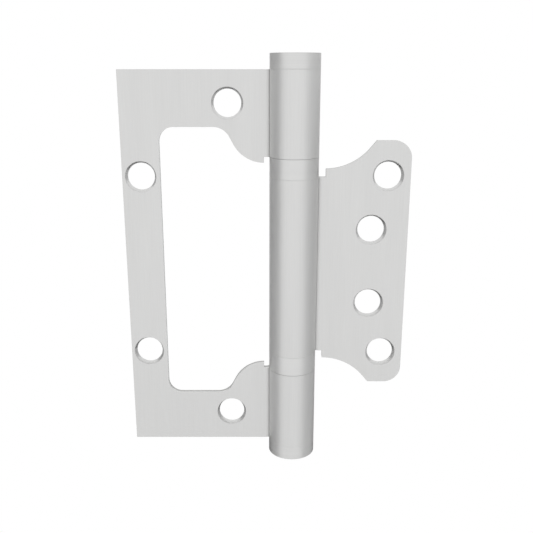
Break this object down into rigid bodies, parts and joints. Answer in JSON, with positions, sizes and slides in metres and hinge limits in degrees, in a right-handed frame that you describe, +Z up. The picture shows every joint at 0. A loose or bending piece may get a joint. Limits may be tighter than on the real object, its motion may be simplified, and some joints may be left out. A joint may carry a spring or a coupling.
{
  "type": "flush hinge",
  "caption": "Flush door hinge, open flat: a window in the outer leaf takes the inner leaf when closed, and ball bearings fill the gaps in the barrel.",
  "frame": {"origin": "on the outer leaf's back face, midway between its two outer screw holes", "axes": "+Z up along the pin, +X from the outer leaf towards the inner leaf, +Y out of the leaves' back faces"},
  "size_m": [0.0732, 0.0125, 0.1076],
  "materials": {
    "leaf_steel": "satin, finely brushed",
    "cap_steel": "turned, satin",
    "shell_steel": "turned, satin",
    "pin_steel": "ground",
    "race_steel": "hardened and ground",
    "ball_steel": "polished",
    "cage_brass": "stamped, satin",
    "sleeve_nylon": "matt"
  },
  "bodies": {
    "outer": {"outer_leaf": "leaf_steel", "hinge_pin": "pin_steel", "top_cap": "cap_steel", "bottom_cap": "cap_steel", "upper_sleeve": "sleeve_nylon", "lower_sleeve": "sleeve_nylon", "upper_fixed_race": "race_steel", "lower_fixed_race": "race_steel"},
    "inner": {"inner_leaf": "leaf_steel", "middle_sleeve": "sleeve_nylon", "upper_shell": "shell_steel", "lower_shell": "shell_steel", "upper_turning_race": "race_steel", "lower_turning_race": "race_steel"},
    "upper_balls": {"upper_cage": "cage_brass", "upper_ball_1": "ball_steel", "upper_ball_2": "ball_steel", "upper_ball_3": "ball_steel", "upper_ball_4": "ball_steel", "upper_ball_5": "ball_steel", "upper_ball_6": "ball_steel"},
    "lower_balls": {"lower_cage": "cage_brass", "lower_ball_1": "ball_steel", "lower_ball_2": "ball_steel", "lower_ball_3": "ball_steel", "lower_ball_4": "ball_steel", "lower_ball_5": "ball_steel", "lower_ball_6": "ball_steel"}
  },
  "joints": [
    {"name": "leaf_swing", "type": "hinge", "parent": "outer", "child": "inner", "pos_m": [0.0389, -0.00075, 0], "axis": [0, 0, -1], "continuous": true},
    {"name": "upper_ball_run", "type": "hinge", "parent": "outer", "child": "upper_balls", "pos_m": [0.0389, -0.00075, 0], "axis": [0, 0, -1], "continuous": true},
    {"name": "lower_ball_run", "type": "hinge", "parent": "outer", "child": "lower_balls", "pos_m": [0.0389, -0.00075, 0], "axis": [0, 0, -1], "continuous": true}
  ],
  "couplings": [
    {"joint": "upper_ball_run", "follows": "leaf_swing", "ratio": 0.5},
    {"joint": "lower_ball_run", "follows": "leaf_swing", "ratio": 0.5}
  ]
}
